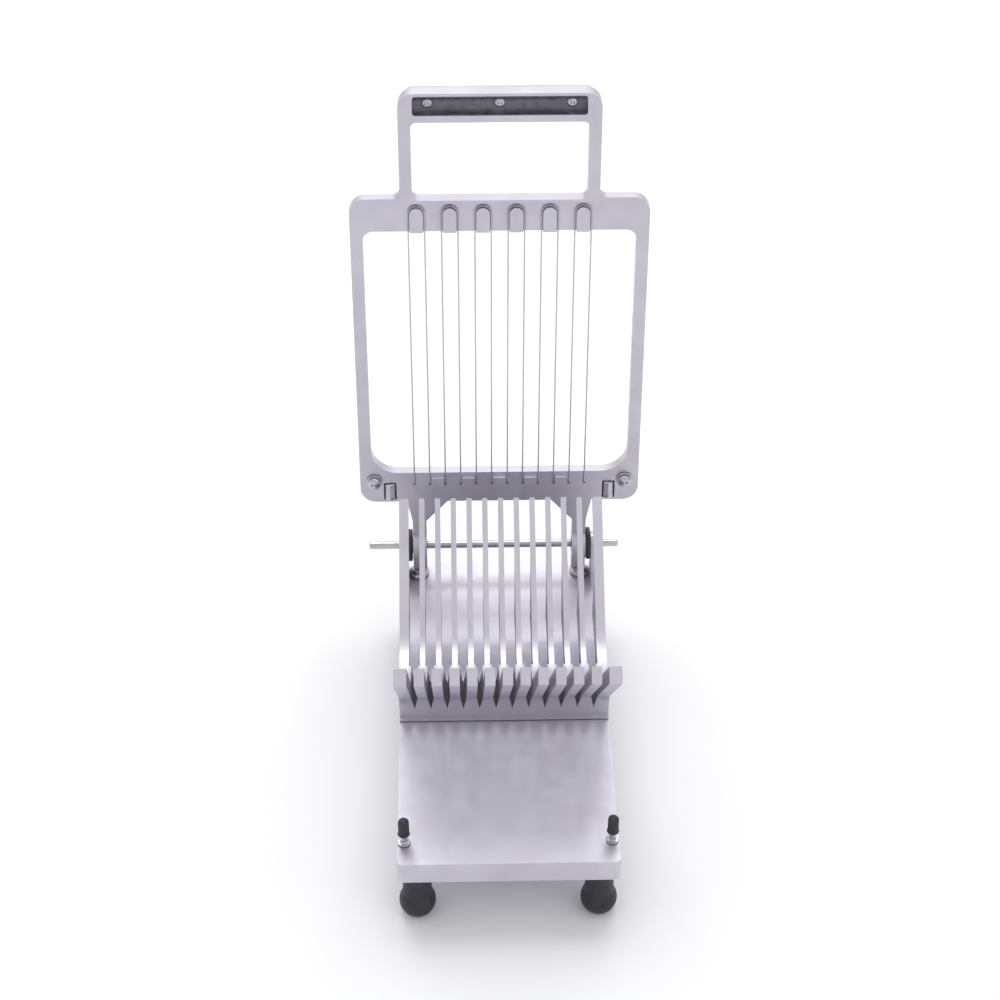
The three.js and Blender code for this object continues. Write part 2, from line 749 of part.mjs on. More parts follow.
function wireLoop(centreX) {
  const half = slicePitch / 2;
  const points = legEnd(centreX - half);
  const steps = 8;
  for (let i = 0; i <= steps; i += 1) {
    const angle = Math.PI - (Math.PI * i) / steps;
    points.push(new THREE.Vector3(
      centreX + half * Math.cos(angle), wirePlaneY, loopCentre + half * Math.sin(angle)));
  }
  points.push(...legEnd(centreX + half).reverse());
  const corners = [0, 1, 2, 3, 4, 5].map((i) => (i * Math.PI) / 3);
  const section = polygon(corners.map((angle) =>
    [wireRadius * Math.cos(angle), wireRadius * Math.sin(angle)]));
  return new THREE.ExtrudeGeometry(section, {
    steps: points.length - 1,
    bevelEnabled: false,
    extrudePath: new StrungPath(points),
  });
}

function clampWasher(sign) {
  const front = -frontOffset - gap;
  const inner = clampShankRadius + gap;
  const profile = [
    [inner, front - clampWasherThick],
    [clampWasherRadius, front - clampWasherThick],
    [clampWasherRadius, front],
    [inner, front],
    [inner, front - clampWasherThick],
  ];
  return place(latheY(profile, 20), sign * clampX, 0, clampZ);
}

function clampScrew(sign) {
  const seat = -frontOffset - 2 * gap - clampWasherThick;
  const profile = [
    [0, seat - clampHeadHeight],
    [clampHeadRadius * 0.7, seat - clampHeadHeight],
    [clampHeadRadius, seat - clampHeadHeight * 0.45],
    [clampHeadRadius, seat],
    [clampShankRadius, seat],
    [clampShankRadius, frameBackY],
    [0, frameBackY],
  ];
  return place(latheY(profile, 20), sign * clampX, 0, clampZ);
}

function tensionBarrel(sign) {
  const chamfer = 0.5;
  const profile = [
    [0, -barrelLength],
    [barrelRadius - chamfer, -barrelLength],
    [barrelRadius, chamfer - barrelLength],
    [barrelRadius, -chamfer],
    [barrelRadius - chamfer, 0],
    [0, 0],
  ];
  return place(latheZ(profile, 16), sign * barrelX, barrelRadius - barrelProud - frontOffset, barrelTop);
}

function gripCover() {
  const half = handleHalfWidth - gripCoverInset;
  const low = gripStart + gripCoverMargin;
  const high = handleEnd - gripCoverMargin;
  const outline = roundedRectangle(-half, half, low, high, gripCoverRadius, gripCoverRadius);
  const geometry = new THREE.ExtrudeGeometry(outline, {
    depth: gripCoverThick - gripCoverEdge,
    bevelEnabled: true,
    bevelThickness: gripCoverEdge,
    bevelSize: gripCoverEdge,
    bevelOffset: -gripCoverEdge,
    bevelSegments: 2,
    curveSegments: 2,
  });
  geometry.rotateX(Math.PI / 2);
  const rear = frameBackY + gap + gripCoverThick;
  const whole = toSolid(place(geometry, 0, rear - gripCoverEdge, 0));
  const front = block(-half - 1, half + 1, frameBackY - 4, frameBackY + gap, gripStart - 1, handleEnd + 1);
  const holes = [-gripScrewSpacing, 0, gripScrewSpacing].map((x) =>
    rodY(gripScrewRadius + gap, frameBackY, frameBackY + 2 * gap + gripScrewBite, x, gripMiddle, 12));
  return cut(whole, [front, ...holes]);
}

function gripScrew(x) {
  const seat = frameBackY - gripDepth + recessDepth - gap;
  const profile = [
    [0, seat - gripScrewHeadHeight],
    [gripScrewHeadRadius * 0.75, seat - gripScrewHeadHeight],
    [gripScrewHeadRadius, seat - gripScrewHeadHeight * 0.5],
    [gripScrewHeadRadius, seat],
    [gripScrewRadius, seat],
    [gripScrewRadius, frameBackY + gap + gripScrewBite],
    [0, frameBackY + gap + gripScrewBite],
  ];
  return place(latheY(profile, 16), x, 0, gripMiddle);
}

// ---- Assembly ----
function basePieces() {
  const pieces = [
    mesh("base_casting", "casting", baseCasting()),
    mesh("cradle", "casting", cradle()),
    mesh("pivot_rod", "steel", pivotRod()),
  ];
  for (const { word, sign } of sides) {
    pieces.push(mesh(`front_foot_${word}`, "rubber", plainFoot(sign * footX)));
    pieces.push(mesh(`rear_foot_${word}`, "rubber", screwedFoot(sign * footX)));
    pieces.push(mesh(`rear_foot_screw_${word}`, "steel", footScrew(sign * footX)));
    pieces.push(mesh(`bumper_post_${word}`, "steel", bumperPost(sign * bumperX)));
    pieces.push(mesh(`bumper_cap_${word}`, "rubber", bumperCap(sign * bumperX)));
  }
  cradleScrewPlaces().forEach((x, i) => pieces.push(mesh(`cradle_screw_${i + 1}`, "steel", cradleScrew(x))));
  return pieces;
}

function framePieces() {
  const pieces = [
    mesh("wire_frame", "casting", wireFrame()),
    mesh("grip_cover", "casting", gripCover()),
  ];
  for (const { word, sign } of sides) {
    pieces.push(mesh(`pivot_bushing_${word}`, "nylon", bushing(sign)));
    pieces.push(mesh(`clamp_washer_${word}`, "steel", clampWasher(sign)));
    pieces.push(mesh(`clamp_screw_${word}`, "steel", clampScrew(sign)));
    pieces.push(mesh(`tension_barrel_${word}`, "steel", tensionBarrel(sign)));
  }
  for (let i = 0; i < wireCount / 2; i += 1)
    pieces.push(mesh(`wire_loop_${i + 1}`, "steel", wireLoop((2 * i - (wireCount / 2 - 1)) * slicePitch)));
  [-gripScrewSpacing, 0, gripScrewSpacing].forEach((x, i) =>
    pieces.push(mesh(`grip_screw_${i + 1}`, "steel", gripScrew(x))));
  return pieces;
}

const frame = new THREE.Group();
frame.add(...framePieces());
frame.position.set(0, pivotY, pivotHeight);
frame.rotation.x = -radians(openLean);

const slicer = new THREE.Group();
slicer.add(...basePieces(), frame);

// The origin is below the middle of the open slicer, on the standing surface.
const extent = new THREE.Box3().setFromObject(slicer, true);
const middleY = Math.round(5 * (extent.min.y + extent.max.y)) / 10;
slicer.position.set(0, -middleY, -standLevel);

export default slicer;
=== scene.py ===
"""Looks of a hinged egg slicer: cast aluminium base, slotted cradle and strung wire frame.

Metres, +Z up, -Y towards the open front plate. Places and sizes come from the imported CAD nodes.
"""
import json
import math

import bmesh
import bpy
from mathutils import Matrix, Vector


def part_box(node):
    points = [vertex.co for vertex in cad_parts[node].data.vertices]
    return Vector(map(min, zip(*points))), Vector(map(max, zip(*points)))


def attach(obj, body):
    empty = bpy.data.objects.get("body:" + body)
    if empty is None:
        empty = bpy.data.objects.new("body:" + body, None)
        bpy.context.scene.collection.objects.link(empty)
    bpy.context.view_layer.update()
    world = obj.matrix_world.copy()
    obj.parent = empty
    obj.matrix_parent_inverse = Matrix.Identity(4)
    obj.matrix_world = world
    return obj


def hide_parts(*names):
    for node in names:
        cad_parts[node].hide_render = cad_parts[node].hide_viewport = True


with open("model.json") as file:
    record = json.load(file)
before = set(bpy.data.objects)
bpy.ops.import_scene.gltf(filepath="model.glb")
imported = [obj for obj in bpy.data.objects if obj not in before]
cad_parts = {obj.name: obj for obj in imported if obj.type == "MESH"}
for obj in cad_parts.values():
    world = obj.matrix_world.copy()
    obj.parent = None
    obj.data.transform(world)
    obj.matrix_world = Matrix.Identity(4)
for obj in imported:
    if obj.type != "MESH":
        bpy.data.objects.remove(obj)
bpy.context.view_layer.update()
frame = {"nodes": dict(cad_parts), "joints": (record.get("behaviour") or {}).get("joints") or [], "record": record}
NODES = frame["nodes"]

# ---- Sizes shared with the part, in metres ----
MM = 0.001
HINGE = Vector(next(joint["pos_m"] for joint in frame["joints"] if joint["name"] == "frame_hinge"))
OPEN_LEAN = math.radians(4)  # the open wire frame leans this far behind upright
UPRIGHT = Matrix.Translation(HINGE) @ Matrix.Rotation(OPEN_LEAN, 4, "X") @ Matrix.Translation(-HINGE)
LEANING = Matrix.Translation(HINGE) @ Matrix.Rotation(-OPEN_LEAN, 4, "X") @ Matrix.Translation(-HINGE)
SIDES = ("left", "right")
LOOPS = 6
ROUND = 48  # segments round a turned piece
FINE_ROUND = 64
ON_AXIS = 1e-7  # a smaller radius closes a turned piece to a point
CREASE = math.radians(35)  # a sharper edge stays sharp in the shading
WIRE_CREASE = math.radians(50)
ARC_UP = [math.pi / 2 * i / 8 for i in range(1, 8)]  # the turns of a domed screw head
PLATE_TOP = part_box("cradle")[0][2]  # the cradle stands on the plate

# ---- Sizes of the finer pieces that the CAD boxes do not give ----
FOOT_GAP = 0.3 * MM  # under the base casting
FOOT_LIP = 0.4 * MM
FOOT_SCREW_SHANK = 2 * MM  # this and the other shanks and bores are radii
CRADLE_SCREW_SHANK = 1.4 * MM
CRADLE_SCREW_HEAD = 2.4 * MM  # this and the other heads are heights
CLAMP_SCREW_SHANK = 1.4 * MM
CLAMP_SCREW_HEAD = 1.8 * MM
GRIP_SCREW_SHANK = 1.2 * MM
GRIP_SCREW_HEAD = 1.6 * MM
WASHER_BORE = 1.7 * MM
BUSH_BORE = 1.85 * MM
BUSH_WALL = 1.5 * MM
BUSH_FLANGE = 1.7 * MM
ROD_DOME = 0.2 * MM
GROOVE_DEPTH = 0.12 * MM
WIRE_RADIUS = 0.3 * MM
WIRE_BEND = 1.2 * MM
CHANNEL_SET_FORWARD = 2 * MM  # the mouth of the trough, in front of the screw heads
CHANNEL_HALF_LENGTH = 32.2 * MM
CHANNEL_HALF_HEIGHT = 3.7 * MM
CHANNEL_DEPTH = 3.7 * MM
CHANNEL_SKIN = 0.25 * MM
CASTING_EDGES = {  # bevel widths
    "base_casting": 0.5 * MM,
    "cradle": 0.3 * MM,
    "wire_frame": 0.55 * MM,
    "grip_cover": 0.4 * MM,
}

# ---- Camera and studio ----
CAMERA_PLACE = (-0.0168, -0.6165, 0.6198)
CAMERA_PITCH = math.radians(38.59)
CAMERA_YAW = math.radians(-1.42)
CAMERA_ROLL = math.radians(0.22)
CAMERA_LENS = 76.6
FLOOR_HALF = 6.0


# ---- Material building ----
class Shader:
    """A material's node tree with short calls to add and join nodes."""

    def __init__(self, name):
        self.material = bpy.data.materials.new(name)
        self.material.use_nodes = True
        self.tree = self.material.node_tree
        self.surface = self.tree.nodes["Principled BSDF"]
        self.coordinates = self.tree.nodes.new("ShaderNodeTexCoord")

    def node(self, kind, links=None, **settings):
        """Adds a node. Settings are properties of the node. Links give an input a value or a socket."""
        made = self.tree.nodes.new(kind)
        for key, value in settings.items():
            setattr(made, key, value)
        for socket, source in (links or {}).items():
            if isinstance(source, bpy.types.NodeSocket):
                self.tree.links.new(source, made.inputs[socket])
            else:
                made.inputs[socket].default_value = source
        return made

    def set(self, **values):
        """Uniform values straight on the surface shader's sockets."""
        for name, value in values.items():
            self.surface.inputs[name.replace("_", " ")].default_value = value

    def drive(self, socket, source):
        self.tree.links.new(source, self.surface.inputs[socket])

    def place(self, scale=(1, 1, 1)):
        links = {"Vector": self.coordinates.outputs["Object"], "Scale": scale}
        return self.node("ShaderNodeMapping", links).outputs["Vector"]

    def noise(self, size, detail=3.0, vector=None):
        """Noise whose blobs are about size metres across, from 0 to 1."""
        links = {"Vector": vector or self.place(), "Scale": 1 / size, "Detail": detail}
        return self.node("ShaderNodeTexNoise", links).outputs["Fac"]

    def spread(self, value, low, high, start=0.3, end=0.7):
        """Maps a noise value from start..end to low..high."""
        links = {"Value": value, "From Min": start, "From Max": end, "To Min": low, "To Max": high}
        return self.node("ShaderNodeMapRange", links).outputs["Result"]

    def tint(self, value, dark, light):
        """A colour between two, chosen by a noise value."""
        mix = self.node("ShaderNodeMix", data_type="RGBA")
        self.tree.links.new(value, mix.inputs[0])
        mix.inputs[6].default_value = (*dark, 1)
        mix.inputs[7].default_value = (*light, 1)
        return mix.outputs[2]

    def bump(self, height, depth, strength=1.0, under=None):
        links = {"Height": height, "Distance": depth, "Strength": strength}
        if under is not None:
            links["Normal"] = under
        return self.node("ShaderNodeBump", links).outputs["Normal"]


def cast_aluminium():
    """Satin cast aluminium: a fine blasted grain over faint flow marks."""
    shader = Shader("cast_aluminium")
    flow = shader.noise(0.022, 4)
    grain = shader.noise(0.0006, 2)
    orange_peel = shader.noise(0.0028, 2)
    shader.set(Metallic=0.9, Specular_IOR_Level=0.5)
    dark, light = (0.575, 0.555, 0.615), (0.64, 0.625, 0.685)
    shader.drive("Base Color", shader.tint(shader.spread(flow, 0, 1), dark, light))
    shader.drive("Roughness", shader.spread(shader.noise(0.006, 4), 0.40, 0.52))
    waves = shader.bump(orange_peel, 0.00005, 0.35)
    shader.drive("Normal", shader.bump(grain, 0.00003, 0.45, waves))
    return shader.material


def turned_steel():
    """Bright turned stainless steel with fine tool marks."""
    shader = Shader("turned_steel")
    stained = shader.noise(0.004, 3)
    marks = shader.noise(0.0012, 2, shader.place((6, 1, 1)))
    shader.set(Metallic=1.0)
    dark, light = (0.48, 0.47, 0.49), (0.58, 0.57, 0.60)
    shader.drive("Base Color", shader.tint(shader.spread(stained, 0, 1), dark, light))
    shader.drive("Roughness", shader.spread(shader.noise(0.002, 3), 0.22, 0.32))
    shader.drive("Normal", shader.bump(marks, 0.000008, 0.2))
    return shader.material


def drawn_wire():
    """Drawn stainless wire with die lines along its length."""
    shader = Shader("drawn_wire")
    lines = shader.noise(0.0003, 2, shader.place((6, 6, 0.05)))
    shader.set(Metallic=1.0)
    dark, light = (0.42, 0.41, 0.44), (0.56, 0.55, 0.58)
    shader.drive("Base Color", shader.tint(shader.noise(0.012, 2), dark, light))
    shader.drive("Roughness", shader.spread(lines, 0.24, 0.38))
    return shader.material


def painted_shade_channel():
    """The inside of the handle's trough, with painted shade: its dark colour stands in for the shade and dark
    reflections inside the hollow.
    """
    shader = Shader("painted_shade_channel")
    mottle = shader.noise(0.003, 4)
    shader.set(Metallic=0.75, Specular_IOR_Level=0.4)
    # painted shade: these dark tints darken the trough's inside in place of real shade
    dark, light = (0.13, 0.125, 0.15), (0.22, 0.21, 0.245)
    shader.drive("Base Color", shader.tint(shader.spread(mottle, 0, 1), dark, light))
    shader.drive("Roughness", shader.spread(mottle, 0.38, 0.52))
    shader.drive("Normal", shader.bump(shader.noise(0.0006, 2), 0.00004, 0.6))
    return shader.material


def moulded_rubber():
    """Dull black rubber with a fine moulded texture and a dusting of bloom."""
    shader = Shader("moulded_rubber")
    bloom = shader.noise(0.007, 4)
    pores = shader.noise(0.0005, 3)
    shader.set(Metallic=0.0, Specular_IOR_Level=0.45)
    dark, light = (0.012, 0.012, 0.017), (0.028, 0.028, 0.037)
    shader.drive("Base Color", shader.tint(shader.spread(bloom, 0, 1), dark, light))
    shader.drive("Roughness", shader.spread(shader.noise(0.003, 3), 0.42, 0.6))
    shader.drive("Normal", shader.bump(pores, 0.00008, 0.5))
    return shader.material


def moulded_nylon():
    """Satin black nylon with a faint moulded grain."""
    shader = Shader("moulded_nylon")
    mottle = shader.noise(0.005, 3)
    shader.set(Metallic=0.0, Specular_IOR_Level=0.5)
    shader.drive("Base Color", shader.tint(mottle, (0.016, 0.016, 0.019), (0.03, 0.03, 0.035)))
    shader.drive("Roughness", shader.spread(mottle, 0.34, 0.46))
    shader.drive("Normal", shader.bump(shader.noise(0.0006, 2), 0.00003, 0.5))
    return shader.material


def pale_paper():
    """The pale studio floor, with a barely visible mottling."""
    shader = Shader("pale_paper")
    shader.set(Roughness=0.9, Specular_IOR_Level=0.1)
    shader.drive("Base Color", shader.tint(shader.noise(0.4, 3), (0.90, 0.90, 0.91), (0.93, 0.93, 0.94)))
    return shader.material


MATERIALS = {
    "casting": cast_aluminium(),
    # painted shade for the inside of the handle's trough
    "channel": painted_shade_channel(),
    "steel": turned_steel(),
    "wire": drawn_wire(),
    "rubber": moulded_rubber(),
    "nylon": moulded_nylon(),
}


# ---- Piece building ----
def middle(node):
    low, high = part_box(node)
    return (Vector(low) + Vector(high)) / 2


def upright_box(node):
    """The box of a piece on the wire frame as it is when the frame stands upright over the hinge."""
    spots = [UPRIGHT @ vertex.co for vertex in NODES[node].data.vertices]
    low = Vector([min(spot[i] for spot in spots) for i in range(3)])
    high = Vector([max(spot[i] for spot in spots) for i in range(3)])
    return low, high


def finish_piece(piece, body, slot, *nodes):
    """Gives a new piece its material and its body, and hides the CAD nodes that it stands for."""
    piece.data.materials.clear()
    piece.data.materials.append(MATERIALS[slot])
    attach(piece, body)
    if nodes:
        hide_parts(*nodes)
    return piece


def object_from(name, mesh_builder):
    """A linked mesh object from a bmesh, shaded smooth except across sharp edges."""
    mesh = bpy.data.meshes.new(name)
    bmesh.ops.recalc_face_normals(mesh_builder, faces=mesh_builder.faces)
    mesh_builder.to_mesh(mesh)
    mesh_builder.free()
    piece = bpy.data.objects.new(name, mesh)
    bpy.context.scene.collection.objects.link(piece)
    shade(mesh)
    return piece


def shade(mesh, crease=CREASE):
    mesh.shade_smooth()
    mesh.set_sharp_from_angle(angle=crease)


AXIS_TURNS = {
    "X": Matrix.Rotation(math.pi / 2, 4, "Y"),
    "Y": Matrix.Rotation(-math.pi / 2, 4, "X"),
    "Z": Matrix.Identity(4),
}


def lathe(name, profile, place, axis="Z", segments=ROUND):
    """A turned piece from (radius, height) pairs. Height runs along the axis from place."""
    made = bmesh.new()
    rings = []
    for radius, height in profile:
        if radius < ON_AXIS:
            rings.append([made.verts.new((0, 0, height))])
            continue
        angles = (2 * math.pi * i / segments for i in range(segments))
        ring = [(radius * math.cos(a), radius * math.sin(a), height) for a in angles]
        rings.append([made.verts.new(spot) for spot in ring])
    for inner, outer in zip(rings, rings[1:]):
        for i in range(segments):
            j = (i + 1) % segments
            below = [inner[i % len(inner)], inner[j % len(inner)]]
            above = [outer[j % len(outer)], outer[i % len(outer)]]
            made.faces.new(list(dict.fromkeys(below + above)))
    made.transform(Matrix.Translation(place) @ AXIS_TURNS[axis])
    return object_from(name, made)


def arc(radius, height, size, start, end, steps=8):
    """(radius, height) pairs between two angles of a circle of that size about (radius, height)."""
    angles = (start + (end - start) * i / steps for i in range(steps + 1))
    return [(radius + size * math.cos(a), height + size * math.sin(a)) for a in angles]


def carve(piece, cutter):
    """Cuts one mesh with another and drops the cutter."""
    tool = piece.modifiers.new("recess", "BOOLEAN")
    tool.object = cutter
    tool.solver = "EXACT"
    tool.use_self = True
    graph = bpy.context.evaluated_depsgraph_get()
    carved = bpy.data.meshes.new_from_object(piece.evaluated_get(graph))
    piece.modifiers.clear()
    piece.data = carved
    shade(carved)
    bpy.data.objects.remove(cutter)


def cross_cutter(place, axis, width, reach, depth):
    """A tapered cross, for the driver recess of a screw whose head faces away from +axis at place."""
    made = bmesh.new()
    for turn in (0, math.pi / 2):
        cube = bmesh.ops.create_cube(made, size=1)["verts"]
        for vertex in cube:
            narrow = 0.55 if vertex.co.z > 0 else 1.0
            vertex.co.x *= 2 * reach * narrow
            vertex.co.y *= width
            vertex.co.z *= 2 * depth
        bmesh.ops.rotate(made, verts=cube, matrix=Matrix.Rotation(turn, 3, "Z"))
    made.transform(Matrix.Translation(place) @ AXIS_TURNS[axis])
    return object_from("cutter", made)


# ---- Castings: the CAD nodes stay, with softened edges ----
def smooth_shading_group():
    """Geometry nodes that shade every face smooth and keep the sharp edges sharp."""
    group = bpy.data.node_groups.new("smooth_by_angle", "GeometryNodeTree")
    group.interface.new_socket("Geometry", in_out="INPUT", socket_type="NodeSocketGeometry")
    group.interface.new_socket("Geometry", in_out="OUTPUT", socket_type="NodeSocketGeometry")
    start = group.nodes.new("NodeGroupInput")
    end = group.nodes.new("NodeGroupOutput")
    angle = group.nodes.new("GeometryNodeInputMeshEdgeAngle")
    flat_enough = group.nodes.new("FunctionNodeCompare")
    flat_enough.operation = "LESS_EQUAL"
    flat_enough.inputs["B"].default_value = CREASE
    faces = group.nodes.new("GeometryNodeSetShadeSmooth")
    edges = group.nodes.new("GeometryNodeSetShadeSmooth")
    edges.domain = "EDGE"
    link = group.links.new
    link(angle.outputs["Unsigned Angle"], flat_enough.inputs["A"])
    link(start.outputs[0], faces.inputs["Geometry"])
    link(faces.outputs["Geometry"], edges.inputs["Geometry"])
    link(flat_enough.outputs["Result"], edges.inputs["Shade Smooth"])
    link(edges.outputs["Geometry"], end.inputs[0])
    return group


SMOOTH_GROUP = smooth_shading_group()


def soften(node, edge):
    """Rounds the edges of a casting with modifiers only."""
    casting = NODES[node]
    weld = casting.modifiers.new("weld", "WELD")
    weld.merge_threshold = 0.01 * MM
    planar = casting.modifiers.new("planar", "DECIMATE")
    planar.decimate_type = "DISSOLVE"
    planar.angle_limit = math.radians(0.5)
    bevel = casting.modifiers.new("edge", "BEVEL")
    bevel.width = edge
    bevel.segments = 3
    bevel.limit_method = "ANGLE"
    bevel.angle_limit = math.radians(38)
    bevel.use_clamp_overlap = True
    smooth = casting.modifiers.new("smooth", "NODES")
    smooth.node_group = SMOOTH_GROUP
    weighted = casting.modifiers.new("weighted", "WEIGHTED_NORMAL")
    weighted.keep_sharp = True


def castings():
    for node, edge in CASTING_EDGES.items():
        soften(node, edge)


def paint_nodes():
    """Every CAD node takes the material of its slot in the record."""
    for part in frame["record"]["subparts"]:
        node = NODES[part["node"]]
        node.data.materials.clear()
        node.data.materials.append(MATERIALS[part["material_slot"]])


# ---- Pieces on the base ----
def foot_outline(low, high, radius):
    """A ball foot with a flat pad below and a necked collar above."""
    height = high - low
    pad = 0.44 * radius
    neck = 0.783 * radius
    lip = FOOT_LIP
    centre = math.sqrt(radius ** 2 - pad ** 2)
    ball = arc(0, centre, radius, -math.acos(pad / radius), math.acos(neck / radius) - 0.12, 18)
    throat = [(neck, centre + math.sqrt(radius ** 2 - neck ** 2) + 0.6 * MM)]
    collar = [(neck, height - 2 * lip), (neck + lip, height - lip), (neck, height)]
    return [(0, 0), (pad - lip, 0), *ball, *throat, *collar]


def feet():
    """Smooth ball feet, front and rear alike."""
    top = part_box("base_casting")[0][2] - FOOT_GAP
    for side in SIDES:
        for end in ("front", "rear"):
            node = f"{end}_foot_{side}"
            low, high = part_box(node)
            place = middle(node)
            radius = (high[0] - low[0]) / 2
            outline = foot_outline(low[2], top, radius) + [(0, top - low[2])]
            spot = (place.x, place.y, low[2])
            foot = lathe(node + "_moulded", outline, spot, segments=FINE_ROUND)
            finish_piece(foot, "base", "rubber", node)


def bumper_posts():
    """A turned post with a rounded collar at its root."""
    for side in SIDES:
        node = f"bumper_post_{side}"
        low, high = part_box(node)
        place = middle(node)
        collar = (high[0] - low[0]) / 2
        shank = collar / 2
        edge = 0.35 * MM
        seat = PLATE_TOP - low[2]
        top = high[2] - low[2]
        outline = [
            (0, 0), (shank, 0), (shank, seat), (collar - edge, seat),
            *arc(collar - edge, seat + edge, edge, -math.pi / 2, math.pi / 2, 8),
            (shank + edge, seat + 2 * edge), (shank, seat + 3.4 * edge), (shank, top), (0, top),
        ]
        post = lathe(node + "_turned", outline, (place.x, place.y, low[2]))
        finish_piece(post, "base", "steel", node)


def bumper_caps():
    """A domed rubber cap with a rolled lower rim."""
    for side in SIDES:
        node = f"bumper_cap_{side}"
        low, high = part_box(node)
        place = middle(node)
        radius = (high[0] - low[0]) / 2
        height = high[2] - low[2]
        rim = 0.5 * MM
        side_wall = radius - 0.25 * MM
        dome = 0.62 * radius
        bore = 0.65 * radius
        outline = [
            (0, height - radius), (bore, height - radius), (bore, 0),
            *arc(radius - rim, rim, rim, -math.pi / 2, 0.25 * math.pi, 6),
            (side_wall, 2.4 * rim),
            *arc(side_wall - dome, height - dome, dome, 0, math.pi / 2, 9),
            (0, height),
        ]
        cap = lathe(node + "_moulded", outline, (place.x, place.y, low[2]))
        finish_piece(cap, "base", "rubber", node)


def rod():
    """The pivot rod, with chamfered and slightly domed ends."""
    low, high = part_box("pivot_rod")
    place = middle("pivot_rod")
    radius = (high[2] - low[2]) / 2
    length = high[0] - low[0]
    edge = 0.45 * MM
    outline = [
        (0, 0), (radius - 2 * edge, 0.05 * MM), (radius - edge, ROD_DOME),
        *arc(radius - edge, ROD_DOME + edge, edge, -math.pi / 2, 0, 5)[1:],
        *arc(radius - edge, length - ROD_DOME - edge, edge, 0, math.pi / 2, 5),
        (radius - 2 * edge, length - 0.05 * MM), (0, length),
    ]
    made = lathe("pivot_rod_turned", outline, (low[0], place.y, place.z), "X")
    finish_piece(made, "base", "steel", "pivot_rod")


def rear_foot_screws():
    """Pan-head screws through the plate into the rear feet, with a cross recess."""
    for side in SIDES:
        node = f"rear_foot_screw_{side}"
        low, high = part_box(node)
        place = middle(node)
        head = (high[0] - low[0]) / 2
        shank = FOOT_SCREW_SHANK
        seat = PLATE_TOP - low[2]
        top = high[2] - low[2]
        outline = [
            (0, 0), (shank, 0), (shank, seat), (head - 0.2 * MM, seat), (head, seat + 0.3 * MM),
            (head, seat + 0.45 * (top - seat)),
            *[(head * math.cos(a), seat + (top - seat) * (0.45 + 0.55 * math.sin(a))) for a in ARC_UP],
            (0, top),
        ]
        screw = lathe(node + "_turned", outline, (place.x, place.y, low[2]))
        carve(screw, cross_cutter((place.x, place.y, high[2]), "Z", 0.9 * MM, 0.55 * head, 1.1 * MM))
        finish_piece(screw, "base", "steel", node)


def cradle_screws():
    """Cheese-head screws under the plate that hold the cradle down."""
    for i in (1, 2, 3):
        node = f"cradle_screw_{i}"
        low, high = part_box(node)
        place = middle(node)
        head = (high[0] - low[0]) / 2
        shank = CRADLE_SCREW_SHANK
        depth = CRADLE_SCREW_HEAD
        edge = 0.4 * MM
        outline = [
            (0, 0), (head - edge, 0), *arc(head - edge, edge, edge, -math.pi / 2, 0, 5)[1:],
            (head, depth), (shank, depth), (shank, high[2] - low[2]), (0, high[2] - low[2]),
        ]
        screw = lathe(node + "_turned", outline, (place.x, place.y, low[2]))
        carve(screw, cross_cutter((place.x, place.y, low[2]), "Z", 0.8 * MM, 0.6 * head, 1.1 * MM))
        finish_piece(screw, "base", "steel", node)


# ---- Pieces on the wire frame, made upright and then leant back ----
def on_frame(piece, slot, *nodes):
    piece.data.transform(LEANING)
    return finish_piece(piece, "frame", slot, *nodes)


def bushings():
    """Flanged nylon bushings on the pivot rod."""
    for side, sign in zip(SIDES, (-1, 1)):
        node = f"pivot_bushing_{side}"
        low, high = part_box(node)
        flange = (high[2] - low[2]) / 2
        bore = BUSH_BORE
        barrel = bore + BUSH_WALL
        length = high[0] - low[0]
        flange_start = length - BUSH_FLANGE
        edge = 0.35 * MM
        outline = [
            (bore, 0), (barrel, 0), (barrel, flange_start), (flange - edge, flange_start),
            *arc(flange - edge, flange_start + edge, edge, -math.pi / 2, 0, 4)[1:],
            *arc(flange - edge, length - edge, edge, 0, math.pi / 2, 4),
            (bore + edge, length), (bore, length - edge), (bore, 0),
        ]
        inner_x = low[0] if sign > 0 else -high[0]
        spot = (inner_x, HINGE.y, HINGE.z)
        bushing = lathe(node + "_moulded", outline, spot, "X", FINE_ROUND)
        if sign < 0:
            bushing.data.transform(Matrix.Scale(-1, 4, (1, 0, 0)))
            bushing.data.flip_normals()
        finish_piece(bushing, "frame", "nylon", node)


def clamp_washer(side):
    """The flat washer under the head of a clamp screw."""
    node = f"clamp_washer_{side}"
    low, high = upright_box(node)
    outer = (high.x - low.x) / 2
    inner = WASHER_BORE
    thick = high.y - low.y
    edge = 0.2 * MM
    outline = [
        (inner, 0), *arc(outer - edge, edge, edge, -math.pi / 2, 0, 4),
        *arc(outer - edge, thick - edge, edge, 0, math.pi / 2, 4), (inner, thick), (inner, 0),
    ]
    centre = (low + high) / 2
    washer = lathe(node + "_turned", outline, (centre.x, low.y, centre.z), "Y")
    on_frame(washer, "steel", node)


def clamp_screw(side):
    """The pan-head screw at a lower corner of the frame, with a cross recess."""
    node = f"clamp_screw_{side}"
    low, high = upright_box(node)
    centre = (low + high) / 2
    head = (high.x - low.x) / 2
    rise = CLAMP_SCREW_HEAD
    shank = CLAMP_SCREW_SHANK
    edge = 0.1 * MM
    dome = [(head * math.sin(a), rise * (0.55 - 0.55 * math.cos(a))) for a in [0.0, *ARC_UP]]
    outline = [
        *dome, (head, 0.55 * rise), (head, rise - edge), (head - edge, rise), (shank, rise),
        (shank, high.y - low.y), (0, high.y - low.y),
    ]
    screw = lathe(node + "_turned", outline, (centre.x, low.y, centre.z), "Y")
    carve(screw, cross_cutter((centre.x, low.y, centre.z), "Y", 0.7 * MM, 0.6 * head, 1.0 * MM))
    on_frame(screw, "steel", node)


def clamps():
    for side in SIDES:
        clamp_washer(side)
        clamp_screw(side)


